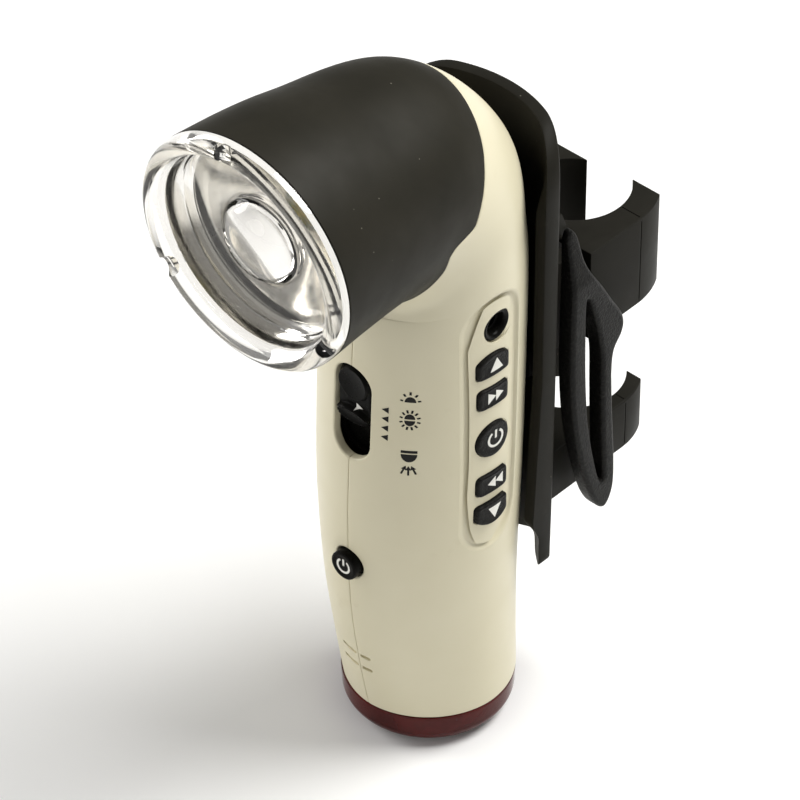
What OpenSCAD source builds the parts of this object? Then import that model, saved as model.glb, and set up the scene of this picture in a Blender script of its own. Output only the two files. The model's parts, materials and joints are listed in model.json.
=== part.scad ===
// Right-angle torch radio with a clip-on cradle and a two-clamp tube bracket.
// Z is up, the torch shines towards -Y, the keypad is on the +X side and the bracket is at +Y.
// The origin is on the base face that the torch stands on, on the body's axis.

/* [Body] */
// Height of the tail light ring, where the ivory housing begins
tail_h = 9.6; // [6:0.2:14]
// Outer radius of the tail light ring
tail_r = 20.4; // [16:0.2:24]
// Widest half width of the body
body_half_w = 23.2; // [20:0.2:26]
// Distance from the axis to the flat line of the back
back_y = 20; // [16:0.5:24]
// How far the front bulges forward of the axis at its fullest
belly_y = 27.5; // [22:0.5:32]
// Housing wall thickness
wall = 2.4; // [1.6:0.1:3.2]

/* [Head] */
// Height of the lens axis above the base
lens_z = 166.2; // [150:0.2:180]
// Distance from the body's axis to the front edge of the head cover
head_reach = 56.5; // [48:0.5:66]
// Radius of the head cover at its front edge
head_r = 28.7; // [24:0.1:34]
// Downward tilt of the beam in degrees
beam_tilt = 3.3; // [0:0.1:10]
// Radius of the reflector's mouth
mouth_r = 22.3; // [18:0.1:25]

/* [Controls] */
// Height of the middle of the mode slot
slot_z = 101.8; // [90:0.2:110]
// Length and width of the mode slot
slot_len = 25.6; // [20:0.2:32]
// Width of the mode slot
slot_w = 10.6; // [8:0.2:14]
// Travel between two of the four mode positions
mode_step = 2.6; // [2:0.1:3]
// Height of the front power button
front_btn_z = 57.8; // [45:0.1:65]
// Radius of the front power button
front_btn_r = 3.7; // [3:0.1:5]
// Travel of the front power button
front_travel = 1.2; // [0.5:0.1:2]
// Front-to-back place of the keypad's middle line
key_y = -5.1; // [-8:0.1:0]
// Travel of the keypad keys
key_travel = 0.8; // [0.4:0.1:1.2]
// Radius of the headphone plug hole
jack_r = 1.8; // [1.75:0.01:1.9]

/* [Bracket] */
// Radius of the tube that the bracket snaps on
tube_r = 13.6; // [11:0.1:16]
// Distance from the body's axis to the tube's axis
tube_y = 47; // [42:0.5:55]
// Outer radius of the cradle's arc
cradle_r = 33.4; // [30:0.1:40]
// Wall of the cradle
cradle_t = 3; // [2:0.1:4]
// Height of the cradle's top edge
cradle_top = 165; // [150:1:175]
// Height of the cradle's lower edge
cradle_low = 40; // [35:1:60]
// Outer half width of the upper clamp
upper_half_w = 20; // [17:0.1:22]
// Outer half width of the lower clamp
lower_half_w = 17.2; // [15:0.1:22]

/* [Node] */
// Which sub-part to draw

/* [Hidden] */

ivory = [0.91, 0.89, 0.80];
black = [0.10, 0.10, 0.10];
dark = [0.16, 0.16, 0.16];
steel = [0.75, 0.76, 0.78];
board_green = [0.08, 0.32, 0.20];

arc_n = 16;          // points on half of a body section
hollow_n = 10;       // the same for the hollow inside
between = 3;         // sections drawn from one station to the next
elbow = [-31, 128];  // the inner corner that the neck's sections fan around
tail_y = -0.45;      // the tail ring's centre
cradle_y = -8.4;     // centre of the cradle's arc
lip_y = 10.3;        // front of the cradle's thicker side rims
pane_r = 22.1;       // radius of the keypad recess floor about the keypad arc's centre
pane_y = -3.4;
key_top_r = 23.8;    // radius of the keys' outer faces
board_x = 16.2;      // inner face of the keypad board
board_t = 1.2;
key_w = 9.2;
bar_w = 8.8;         // the two bar keys
bar_h = 5.6;
knob_len = slot_len - 3 * mode_step - 0.8;
knob_w = slot_w - 0.9;
liner_y = -21.4;     // floor of the mode slot
stem_w = 1.8;        // stem that joins the mode knob to its switch
strap_x = 20.5;      // inner face of the strap
strap_t = 4.8;
post = [19, 21.1, 133];  // [x of its block's end, y, z] of the pin that the strap swings on
post_r = 0.8;
post_end = strap_x + 1.9;  // end of the pocket in the strap
clamp_up_z = [99, 123.5];
clamp_low_z = [54.4, 68.4];
screw_z = [61.4, 111];  // heights of the two pairs of bracket screws
screw_seat = 21.85;     // where their heads sit, sunk in the cradle
key_z = [116.2, 106.8, 94.3, 81.6, 72.4];
jack = [-3.6, 125.7];  // [y, z] of the headphone socket
jack_face = 22.6;      // x of its bezel's face
// Each housing screw's [y, z, reach of its boss to the wall]
screw_at = [[10, 74, 15.7], [-16, 74, 16.8], [10, 132, 16.8], [2, 158, 19.5]];

// One station is [front y, front z, back y, back z, half width, front roundness].
function fan(angle, inner, outer, half_w) = [
    elbow[0] + inner * sin(angle), elbow[1] + inner * cos(angle),
    elbow[0] + outer * sin(angle), elbow[1] + outer * cos(angle), half_w, 2];

lean = sin(beam_tilt) * head_r;
STATIONS = [
    [-tail_r - 0.5, tail_h, back_y, tail_h, tail_r, 1.9],
    [-belly_y + 3.6, 25, back_y, 25, tail_r + 0.1, 1.9],
    [-belly_y + 0.8, 45, back_y, 45, tail_r + 0.8, 1.95],
    [-belly_y, 70, back_y, 70, body_half_w - 0.6, 2],
    [-belly_y + 0.8, 94, back_y, 94, body_half_w, 2],
    fan(90, 5.8, 51.2, body_half_w),
    fan(70, 6.6, 53.0, body_half_w),
    fan(50, 7.7, 59.0, body_half_w + 0.3),
    fan(25, 9.0, 63.0, body_half_w + 1.5),
    fan(0, 10.2, 63.3, body_half_w + 3.4),
    [-head_reach + 13.2, 138.0, -head_reach + 12.2, 193.8, head_r - 1.1, 2],
    [-head_reach + lean, lens_z - head_r, -head_reach - lean, lens_z + head_r, head_r, 2]];

// Smooth curve through the stations
function blend(a, b, c, d, t) = 0.5 * (2 * b + (c - a) * t + (2 * a - 5 * b + 4 * c - d) * t * t
    + (3 * b - a - 3 * c + d) * t * t * t);
last = len(STATIONS) - 1;
function station(k, t) = blend(STATIONS[max(k - 1, 0)], STATIONS[k], STATIONS[k + 1],
    STATIONS[min(k + 2, last)], t);
function smooth_run(parts) = concat(
    [for (k = [0 : last - 1], j = [0 : parts - 1]) station(k, j / parts)], [STATIONS[last]]);

// A station moved inwards by a wall thickness
function inset(s, w) = let (across = [s[2] - s[0], s[3] - s[1]], u = across / norm(across))
    [s[0] + u[0] * w, s[1] + u[1] * w, s[2] - u[0] * w, s[3] - u[1] * w, s[4] - w, s[5]];

// A station moved along the body, down past the tail or out past the lens
function slid(s, dy, dz) = [s[0] + dy, s[1] + dz, s[2] + dy, s[3] + dz, s[4], s[5]];

// Section outline with 2 n points
function outline_point(s, t) = let (n = sin(t) < 0 ? s[5] : 2,
    r = pow(pow(abs(cos(t)), n) + pow(abs(sin(t)), n), -1 / n),
    mid = [s[0] + s[2], s[1] + s[3]] / 2, half = [s[2] - s[0], s[3] - s[1]] / 2)
    [s[4] * r * cos(t), mid[0] + half[0] * r * sin(t), mid[1] + half[1] * r * sin(t)];
function section(s, n) = [for (i = [0 : 2 * n - 1]) outline_point(s, -90 + i * 180 / n)];

module skin(run, n) {
    rings = [for (s = run) section(s, n)];
    m = len(rings);
    w = 2 * n;
    sides = [for (i = [0 : m - 2], j = [0 : w - 1], h = [0, 1])
        let (a = i * w + j, b = i * w + (j + 1) % w)
        h == 0 ? [a, a + w, b] : [b, a + w, b + w]];
    polyhedron([for (r = rings) each r],
        concat(sides, [[for (j = [0 : w - 1]) j]], [[for (j = [w - 1 : -1 : 0]) (m - 1) * w + j]]));
}

// The hollow runs out past both open ends.
module torch_wall() {
    run = [for (s = smooth_run(2)) inset(s, wall)];
    difference() {
        skin(smooth_run(between), arc_n);
        skin(concat([slid(run[0], 0, -8)], run, [slid(run[len(run) - 1], -8, 0)]), hollow_n);
    }
}

// Side view of the space that the head cover takes: gap moves its rear edge forwards
module cover_space(gap) {
    edge = [[19.8, 215], [-13.4, 158.8], [-18.8, 158.2], [-20.9, 156], [-20.8, 151.4],
        [-24.8, 137.4], [-26.6, 130]];
    along_x(80)
        polygon(concat([[-90, 130], [-90, 215]], [for (p = edge) [p[0] - gap, p[1]]]));
}

// Extrudes a (y, z) outline along X, centred on X = 0
module along_x(length) {
    rotate([90, 0, 90]) linear_extrude(length, center = true) children();
}

// Extrudes an (x, z) outline forwards, from y = start to y = start - length
module forwards(start, length) {
    translate([0, start, 0]) rotate([90, 0, 0]) linear_extrude(length) children();
}

module stadium(length, width) {
    square([width, length - width], center = true);
    for (s = [-1, 1]) translate([0, s * (length - width) / 2]) circle(d = width, $fn = 48);
}

module on_lens_axis() {
    translate([0, -head_reach, lens_z]) rotate([90 + beam_tilt, 0, 0]) children();
}

// A cylinder along X between two x values
module bar_x(r, x0, x1, y, z, fn = 48) {
    translate([x0, y, z]) rotate([0, 90, 0]) cylinder(r = r, h = x1 - x0, $fn = fn);
}

module bar_y(r, y0, y1, x, z, fn = 48) {
    translate([x, y1, z]) rotate([90, 0, 0]) cylinder(r = r, h = y1 - y0, $fn = fn);
}

// Key outlines in (y, z) about the key's own middle
module key_shape(kind, grow = 0) {
    if (kind == "power") circle(r = key_w / 2 + 0.1 + grow, $fn = 64);
    if (kind == "bar") translate([-bar_w / 2 - grow, -bar_h / 2 - grow])
        rounded_box(bar_w + 2 * grow, bar_h + 2 * grow, 1.2);
    if (kind == "up") dome_key(grow);
    if (kind == "down") mirror([0, 1]) dome_key(grow);
}

module rounded_box(w, h, r) {
    translate([r, 0]) square([w - 2 * r, h]);
    translate([0, r]) square([w, h - 2 * r]);
    for (x = [r, w - r], y = [r, h - r]) translate([x, y]) circle(r = r, $fn = 32);
}

module dome_key(grow) {
    intersection() {
        translate([0, -3.4]) circle(r = key_w / 2 + 1.7 + grow, $fn = 64);
        translate([-key_w / 2 - grow, -3.4 - grow]) square([key_w + 2 * grow, 8.4 + 2 * grow]);
    }
}

key_kinds = ["up", "bar", "power", "bar", "down"];

module key_prism(i, x0, x1, grow) {
    translate([x0, key_y, key_z[i]]) rotate([90, 0, 90])
        linear_extrude(x1 - x0) key_shape(key_kinds[i], grow);
}

module key_body(i) {
    color(black) {
        intersection() {
            key_prism(i, 18.79, 30, 0);
            translate([0, pane_y, 0]) cylinder(r = key_top_r, h = 140, $fn = 128);
        }
        key_prism(i, 18.2, 18.8, 0.7);
    }
}

// Housing features that both halves share
module slot_cut() {
    translate([0, 0, slot_z]) forwards(-15, 20) stadium(slot_len, slot_w);
}

module front_btn_cut() { bar_y(front_btn_r + 0.3, -40, -15, 0, front_btn_z, 64); }

module grip_grooves() {
    for (z = [23.2, 27.4]) translate([0, 0, z]) forwards(-23.4, 10) rotate(90) stadium(11, 1);
}

module housing_shell(side) {
    difference() {
        intersection() {
            torch_wall();
            translate([side > 0 ? 0 : -60, -80, 0]) cube([60, 140, 230]);
        }
        cover_space(0);
        slot_cut();
        front_btn_cut();
        grip_grooves();
    }
}

module housing_right() {
    color(ivory) {
        difference() {
            housing_shell(1);
            difference() {
                translate([15, key_y + 1.5, 98.8]) rotate([90, 0, 90])
                    linear_extrude(20) stadium(70.5, 15.6);
                translate([0, pane_y, 0]) cylinder(r = pane_r, h = 150, $fn = 128);
            }
            for (i = [0 : 4]) key_prism(i, 15, 35, 0.3);
            bar_x(4.25, 15, 30, jack[0], jack[1]);
        }
        for (p = screw_at) difference() {
            bar_x(3, 0, p[2], p[0], p[1]);
            bar_x(1.15, -1, 12, p[0], p[1]);
        }
    }
}

module housing_left() {
    color(ivory) {
        difference() {
            housing_shell(-1);
            for (p = screw_at) bar_x(2.7, -40, -12, p[0], p[1]);
            for (k = [-3 : 3]) translate([-25, -3, 88 + 2.6 * k])
                rotate([90, 0, 90]) linear_extrude(12) rotate(90) stadium(14 - abs(k) * 1.6, 1.2);
        }
        for (p = screw_at) difference() {
            bar_x(3.6, -p[2] + 0.5, 0, p[0], p[1]);
            bar_x(2.7, -40, -12, p[0], p[1]);
            bar_x(1.2, -20, 1, p[0], p[1]);
        }
    }
}

module head_cover() {
    color(black) intersection() {
        torch_wall();
        cover_space(0.1);
    }
}

module lens() {
    color([0.85, 0.9, 0.92, 0.4]) on_lens_axis() difference() {
        rotate_extrude($fn = 96) polygon([[0, -3], [0, -1], [22.6, -1], [23.2, 0.6], [23.8, 3.6],
            [24.8, 4.4], [27, 4.5], [28.1, 4], [28.6, 3], [28.7, 0.02], [25.2, 0.02], [25.2, -6],
            [23.4, -6], [23.4, -3]]);
        for (a = [94, 214, 334]) rotate(a) translate([24, -2.4, 2.2]) cube([6, 4.8, 4]);
    }
}

module lens_seal() {
    color(dark) on_lens_axis() rotate_extrude($fn = 96) translate([25.25, -2.4]) square([0.4, 1.2]);
}

module reflector() {
    depth = 19.4;
    neck = 5;
    steps = 8;
    wall_pts = [for (i = [0 : steps]) let (r = neck + (mouth_r - neck) * i / steps)
        [r, -4.6 - depth * (1 - (r * r - neck * neck) / (mouth_r * mouth_r - neck * neck))]];
    outer_pts = [for (i = [steps : -1 : 0]) [wall_pts[i][0] + 0.8, wall_pts[i][1] - 0.8]];
    color(steel) on_lens_axis() rotate_extrude($fn = 64) polygon(concat(wall_pts, outer_pts));
}

module focus_lens() {
    color([0.9, 0.93, 0.95, 0.5]) on_lens_axis() rotate_extrude($fn = 64)
        polygon(concat([[0, -3.02], [10, -3.02]],
            [for (a = [0 : 15 : 90]) [10 * cos(a), -4.2 - 6 * sin(a)]]));
}

module led_emitter() {
    color([0.95, 0.93, 0.6]) on_lens_axis() {
        translate([-2.5, -2.5, -25.2]) cube([5, 5, 1.2]);
        translate([0, 0, -24]) intersection() {
            sphere(r = 2.2, $fn = 32);
            translate([-3, -3, -0.1]) cube([6, 6, 4]);
        }
    }
}

module led_board() {
    color(board_green) on_lens_axis() translate([0, 0, -26.4]) cylinder(r = 9, h = 1.2, $fn = 64);
}

module heat_sink() {
    color(steel) on_lens_axis() translate([0, 0, -34]) difference() {
        cylinder(r = 10, h = 7.6, $fn = 64);
        for (k = [-2 : 2]) translate([k * 3.6 - 0.7, -12, -1]) cube([1.4, 24, 6]);
    }
}

module tail_lens() {
    curve = [for (a = [0 : 15 : 90]) [tail_r - 4.2 + 3.8 * cos(90 - a), 4.8 - 3.8 * sin(90 - a)]];
    color([0.62, 0.10, 0.12, 0.8]) translate([0, tail_y, 0]) rotate_extrude($fn = 96)
        polygon(concat([[14.5, 1.0]], curve, [[tail_r, tail_h - 0.02], [tail_r - 1.6, tail_h - 0.02],
            [tail_r - 2, 5.4], [tail_r - 4.2, 2.6], [14.5, 2.6]]));
}

module tail_reflector() {
    color([0.7, 0.2, 0.2]) translate([0, tail_y, 4.3]) difference() {
        cylinder(r = 17.4, h = 3.9, $fn = 96);
        translate([0, 0, -1]) cylinder(r = 15.4, h = 8, $fn = 96);
        for (a = [0 : 60 : 300]) rotate(a - 45) translate([14, -5, 0.5]) cube([5, 10, 2.8]);
    }
}

module tail_leds() {
    color([0.9, 0.25, 0.2]) for (a = [0 : 60 : 300]) translate([0, tail_y, 0])
        rotate(a - 45) translate([11.6, -1.6, 4.4]) cube([2.4, 3.2, 2.4]);
}

module tail_board() {
    color(board_green) translate([0, tail_y, 8.4]) difference() {
        cylinder(r = 16.8, h = 1.2, $fn = 64);
        translate([0, 0, -1]) cylinder(r = 3, h = 4, $fn = 32);
    }
}

module base_plate() {
    color(dark) translate([0, tail_y, 0]) difference() {
        union() {
            cylinder(r = tail_r - 3.6, h = 0.98, $fn = 96);
            cylinder(r = 14.2, h = 3.4, $fn = 64);
        }
        for (a = [30, 150, 270]) rotate(a) translate([10.4, 0, -1]) {
            cylinder(r = 1.3, h = 6, $fn = 32);
            cylinder(r = 2.4, h = 2.4, $fn = 32);
        }
    }
}

module base_screws() {
    color(steel) translate([0, tail_y, 0]) for (a = [30, 150, 270]) rotate(a) translate([10.4, 0, 0])
        screw(1.38, 6.8, 2.2, 1.2, 1.2);
}

// A cross-headed screw: the head's outer face is at height top - head_h, the shank runs up
module screw(top, length, head_r, shank_r, head_h) {
    difference() {
        union() {
            translate([0, 0, top - head_h]) cylinder(r = head_r, h = head_h, $fn = 32);
            translate([0, 0, top - 0.01]) cylinder(r = shank_r, h = length, $fn = 32);
        }
        for (a = [0, 90]) rotate(a) translate([-1.2, -0.25, top - head_h - 1])
            cube([2.4, 0.5, 1.6]);
    }
}

module slot_liner() {
    color(dark) translate([0, 0, slot_z]) difference() {
        forwards(-19.6, 2.9) stadium(slot_len + 2.4, slot_w + 2.4);
        forwards(liner_y, 4) stadium(slot_len + 0.1, slot_w + 0.1);
        forwards(-15, 10) square([stem_w + 0.6, 13], center = true);
    }
}

module mode_knob() {
    top = slot_z + slot_len / 2 - 0.4;
    color(black) translate([0, 0, top - knob_len / 2]) difference() {
        union() {
            forwards(liner_y - 0.2, 5.2) stadium(knob_len, knob_w);
            forwards(-17.6, 5) square([stem_w, 3.6], center = true);
            intersection() {
                forwards(liner_y - 5.3, 1.6) stadium(knob_len, knob_w);
                bar_x(11, -8, 8, -17.4, -5);
            }
        }
        bar_x(7, -8, 8, -33.2, 1.2);
    }
}

module mode_switch() {
    color(steel) translate([0, 0, slot_z]) difference() {
        forwards(-14.4, 4.9) square([8, 17], center = true);
        forwards(-16.6, 6) square([stem_w + 0.6, 13], center = true);
    }
}

module front_button() {
    color(black) {
        bar_y(front_btn_r, -29.2, -23.8, 0, front_btn_z, 64);
        bar_y(front_btn_r + 0.7, -23.8, -22.9, 0, front_btn_z, 64);
    }
}

module front_switch() {
    color(steel) {
        translate([-3, -20.6, front_btn_z - 3]) cube([6, 2.6, 6]);
        bar_y(1.6, -21.6, -20.6, 0, front_btn_z, 32);
        translate([-5, -18, front_btn_z - 6]) cube([10, 1.2, 12]);
    }
}

module jack_socket() {
    color(black) difference() {
        union() {
            bar_x(4.1, 18, jack_face, jack[0], jack[1], 64);
            translate([9.5, jack[0] - 3.6, jack[1] - 4.4]) cube([8.51, 7.2, 8.8]);
        }
        bar_x(2.5, jack_face - 2.1, 30, jack[0], jack[1]);
        bar_x(jack_r, 10.5, 30, jack[0], jack[1]);
    }
}

module key_up() { key_body(0); }
module key_forward() { key_body(1); }
module key_power() { key_body(2); }
module key_rewind() { key_body(3); }
module key_down() { key_body(4); }

module key_board() {
    color(board_green) translate([board_x, key_y - 6.5, 66]) cube([board_t - 0.4, 13, 55]);
}

module key_domes() {
    color(steel) for (z = key_z) bar_x(2.4, board_x + board_t - 0.4, board_x + board_t - 0.05, key_y, z, 32);
}

module main_board() {
    color(board_green) difference() {
        translate([7, -15, 70]) cube([1.4, 29, 70]);
        for (p = screw_at) bar_x(3.4, 0, 12, p[0], p[1]);
    }
    color(dark) for (c = [[-4, 84, 10], [2, 104, 8], [-8, 120, 6]])
        translate([8.4, c[0] - c[2] / 2, c[1] - c[2] / 2]) cube([0.9, c[2], c[2]]);
}

module cell(y) {
    color([0.30, 0.42, 0.30]) translate([-3, y, 15.5]) cylinder(r = 7.1, h = 49, $fn = 48);
    color(steel) translate([-3, y, 64.49]) cylinder(r = 2.7, h = 1.2, $fn = 32);
}

module battery_front() { cell(-7.6); }
module battery_rear() { cell(7.6); }

module battery_contacts() {
    color(steel) {
        translate([-9, -14, 14.7]) cube([12, 28, 0.8]);
        for (y = [-7.6, 7.6]) translate([-7, y - 4, 65.7]) cube([8, 8, 0.6]);
    }
}

module speaker() {
    color(dark) bar_x(10, -16.8, -14.6, -3, 88, 64);
    color(steel) bar_x(6.5, -14.61, -9.6, -3, 88, 48);
}

module ferrite_rod() {
    color([0.25, 0.22, 0.2]) translate([-8.5, 0, 102]) cylinder(r = 3.6, h = 40, $fn = 32);
    color([0.75, 0.4, 0.2]) translate([-8.5, 0, 108]) difference() {
        cylinder(r = 4.6, h = 14, $fn = 32);
        translate([0, 0, -1]) cylinder(r = 3.59, h = 16, $fn = 32);
    }
}

module housing_screws() {
    color(steel) for (p = screw_at) translate([-12, p[0], p[1]]) rotate([0, 90, 0])
        screw(-0.02, 20, 2.4, 1.1, 1.6);
}

// Where the cradle's wall is at a given x
function cradle_back(x, r) = cradle_y + sqrt(r * r - x * x);

module back_stud() {
    color(dark) {
        bar_y(2.6, back_y - 0.05, back_y + 5.6, 0, 96);
        bar_y(4.8, cradle_back(0, cradle_r) + 0.3, back_y + 7, 0, 96);
    }
}

module cradle_front_view() {
    polygon(concat(
        [[-21.6, cradle_low + 6], [-22.4, 62], [-24, 100], [-24, 138]],
        [for (a = [180 : -15 : 90]) [-13 + 11 * cos(a), 152 + 13 * sin(a)]],
        [for (a = [90 : -15 : 0]) [13 + 11 * cos(a), 152 + 13 * sin(a)]],
        [[24, 138], [24, 100], [22.4, 62], [21.6, cradle_low + 6]],
        [for (a = [0 : -30 : -180]) [19.4 + 2.2 * cos(a), cradle_low + 3.8 + 2.2 * sin(a)]],
        [for (p = [[16.4, 7.3], [15, 7.2], [11, 4.2], [6, 1], [0, 0], [-6, 1], [-11, 4.2], [-15, 7.2],
            [-16.4, 7.3]]) [p[0], cradle_low + p[1]]],
        [for (a = [0 : -30 : -180]) [-19.4 + 2.2 * cos(a), cradle_low + 3.8 + 2.2 * sin(a)]]));
}

module cradle() {
    color(black) difference() {
        intersection() {
            difference() {
                translate([0, cradle_y, 20]) cylinder(r = cradle_r, h = 160, $fn = 192);
                difference() {
                    translate([0, cradle_y, 10]) cylinder(r = cradle_r - cradle_t, h = 180, $fn = 192);
                    // the rim is thicker along both sides
                    for (s = [-1, 1]) translate([s * 22.3 - 1.7, lip_y, 52]) cube([3.4, 10, 98]);
                }
            }
            forwards(32, 24) cradle_front_view();
        }
        // keyhole for the stud: wide below, narrow above
        bar_y(2.9, 15, 32, 0, 96);
        translate([-2.9, 15, 96]) cube([5.8, 17, 12]);
        bar_y(5.2, 15, 32, 0, 111.4);
        for (z = screw_z) bracket_holes(z);
        for (z = screw_z, x = [-8, 8]) bar_y(2.3, 15, screw_seat + 0.05, x, z, 32);
    }
}

module grip_studs() {
    color(dark) for (s = [-1, 1]) rotate_about_cradle(s * 25)
        bar_y(3.6, cradle_r - cradle_t - 1.9, cradle_r - cradle_t - 0.3, 0, 96, 32);
}

module rotate_about_cradle(angle) {
    translate([0, cradle_y, 0]) rotate(angle) children();
}

module clamp(z, half_w, tip, far_tip, far_drop) {
    difference() {
        union() {
            translate([0, 0, z[0]]) linear_extrude(z[1] - z[0]) {
                intersection() {
                    translate([0, tube_y]) circle(r = half_w, $fn = 128);
                    union() {
                        translate([0, tube_y - 1]) square([30, tip + 1]);
                        translate([-30, tube_y - 1]) square([30, far_tip + 1]);
                    }
                }
                translate([-half_w, 10]) square([2 * half_w, tube_y - 10]);
            }
        }
        translate([0, tube_y, z[0] - 1]) cylinder(r = tube_r, h = z[1] - z[0] + 2, $fn = 128);
        translate([0, cradle_y, z[0] - 1]) cylinder(r = cradle_r, h = z[1] - z[0] + 2, $fn = 192);
        translate([-30, tube_y - 8, z[1] - far_drop]) cube([26, 40, 8]);
    }
}

module clamp_upper() {
    color(dark) difference() {
        clamp(clamp_up_z, upper_half_w, 10, 12.2, 4);
        translate([upper_half_w - 3, 10, 90]) cube([10, 20.5, 40]);
        bracket_holes(screw_z[1]);
        stud_channel();
    }
}

module clamp_lower() {
    color(dark) difference() {
        clamp(clamp_low_z, lower_half_w, 9, 10.5, 0);
        bracket_holes(screw_z[0]);
    }
}

// Room behind the cradle for the stud's head as the torch slides up off the bracket
module stud_channel() {
    translate([-5.6, 15, 90.4]) cube([11.2, 12.6, 26.6]);
}

module bracket_holes(z) {
    for (x = [-8, 8]) bar_y(1.3, 15, 32, x, z);
}

module bracket_spine() {
    color(dark) difference() {
        translate([-7, 20, clamp_low_z[1] + 0.02]) cube([14, 10.5, clamp_up_z[0] - clamp_low_z[1] - 0.04]);
        translate([0, cradle_y, 40]) cylinder(r = cradle_r, h = 90, $fn = 192);
        stud_channel();
    }
}

module bracket_screws() {
    color(steel) for (z = screw_z, x = [-8, 8])
        translate([x, screw_seat, z]) rotate([-90, 0, 0]) screw(0, 8, 2.1, 1.2, 1.2);
}

module strap_post() {
    color(dark) {
        bar_x(post_r, post[0] - 0.8, post_end - 0.3, post[1], post[2], 32);
        difference() {
            union() {
                translate([12.8, 14, post[2] - 2.6]) cube([post[0] - 12.8, 8.4, 5.2]);
                // a thin fin that carries the strap's line on upwards
                translate([19.6, 0, 0]) rotate([90, 0, 90]) linear_extrude(1.6)
                    polygon([[16, 138], [20.6, 138], [19.6, 140.6], [18.7, 142.6], [16, 142.6]]);
            }
            translate([0, cradle_y, 100]) cylinder(r = cradle_r, h = 80, $fn = 192);
        }
    }
}

module strap() {
    color(dark) difference() {
        translate([strap_x, 0, 0]) rotate([90, 0, 90]) linear_extrude(strap_t) difference() {
            polygon([[19.2, 128], [19.3, 132.5], [19.9, 136], [20.6, 137.3], [21.3, 137.3],
                [22.6, 134.5], [23.3, 131], [24, 127.5], [25.8, 123.4], [29.6, 117.3], [32.9, 111.5],
                [35.7, 107], [36.8, 103.6], [36.2, 100.5], [33.8, 97], [33.2, 92], [33.4, 86], [34, 76],
                [34.9, 64], [34.8, 56], [33, 51.5], [30.6, 51.2], [27.2, 56.8], [24, 66.4], [21.4, 77],
                [19.7, 89], [19, 104]]);
            polygon([[24, 117], [27, 109], [29.2, 99], [29.7, 88], [30.2, 76], [30.8, 66], [31, 60.6],
                [29.8, 60.8], [27.8, 68], [25.8, 78], [24.5, 90], [23.9, 104]]);
        }
        bar_x(post_r + 0.05, 10, post_end, post[1], post[2], 32);
    }
}

housing_right();
housing_left();
head_cover();
lens();
lens_seal();
reflector();
focus_lens();
led_emitter();
led_board();
heat_sink();
tail_lens();
tail_reflector();
tail_leds();
tail_board();
base_plate();
base_screws();
slot_liner();
mode_knob();
mode_switch();
front_button();
front_switch();
jack_socket();
key_up();
key_forward();
key_power();
key_rewind();
key_down();
key_board();
key_domes();
main_board();
battery_front();
battery_rear();
battery_contacts();
speaker();
ferrite_rod();
housing_screws();
back_stud();
cradle();
grip_studs();
clamp_upper();
clamp_lower();
bracket_spine();
bracket_screws();
strap_post();
strap();
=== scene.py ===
"""Looks of the torch radio. Lengths in this file are millimetres unless a name says otherwise."""
import json
import math

import bmesh
import bpy
import numpy as np
from mathutils import Matrix, Vector
from mathutils.bvhtree import BVHTree


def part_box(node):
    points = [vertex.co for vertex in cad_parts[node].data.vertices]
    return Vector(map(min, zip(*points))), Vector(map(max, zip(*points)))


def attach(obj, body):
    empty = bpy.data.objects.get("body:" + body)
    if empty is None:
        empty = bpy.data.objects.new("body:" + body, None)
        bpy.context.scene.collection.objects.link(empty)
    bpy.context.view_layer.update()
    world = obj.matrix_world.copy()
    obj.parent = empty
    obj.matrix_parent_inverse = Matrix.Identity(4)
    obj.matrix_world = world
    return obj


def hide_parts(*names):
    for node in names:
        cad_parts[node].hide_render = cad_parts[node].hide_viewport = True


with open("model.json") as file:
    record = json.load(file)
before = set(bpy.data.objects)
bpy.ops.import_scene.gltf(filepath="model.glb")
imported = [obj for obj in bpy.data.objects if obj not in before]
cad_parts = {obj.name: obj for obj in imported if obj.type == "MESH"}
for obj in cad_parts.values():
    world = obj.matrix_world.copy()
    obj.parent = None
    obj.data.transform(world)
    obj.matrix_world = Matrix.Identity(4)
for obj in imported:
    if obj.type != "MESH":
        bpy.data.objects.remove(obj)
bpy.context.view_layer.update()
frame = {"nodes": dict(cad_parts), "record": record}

MM = 0.001
SLOT_OF = {s["node"]: s["material_slot"] for s in frame["record"]["subparts"]}


def box_mm(node):
    """Low and high corner of a CAD node's box."""
    low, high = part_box(node)
    return np.array(low) / MM, np.array(high) / MM


# ---------------------------------------------------------------- materials

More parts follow.
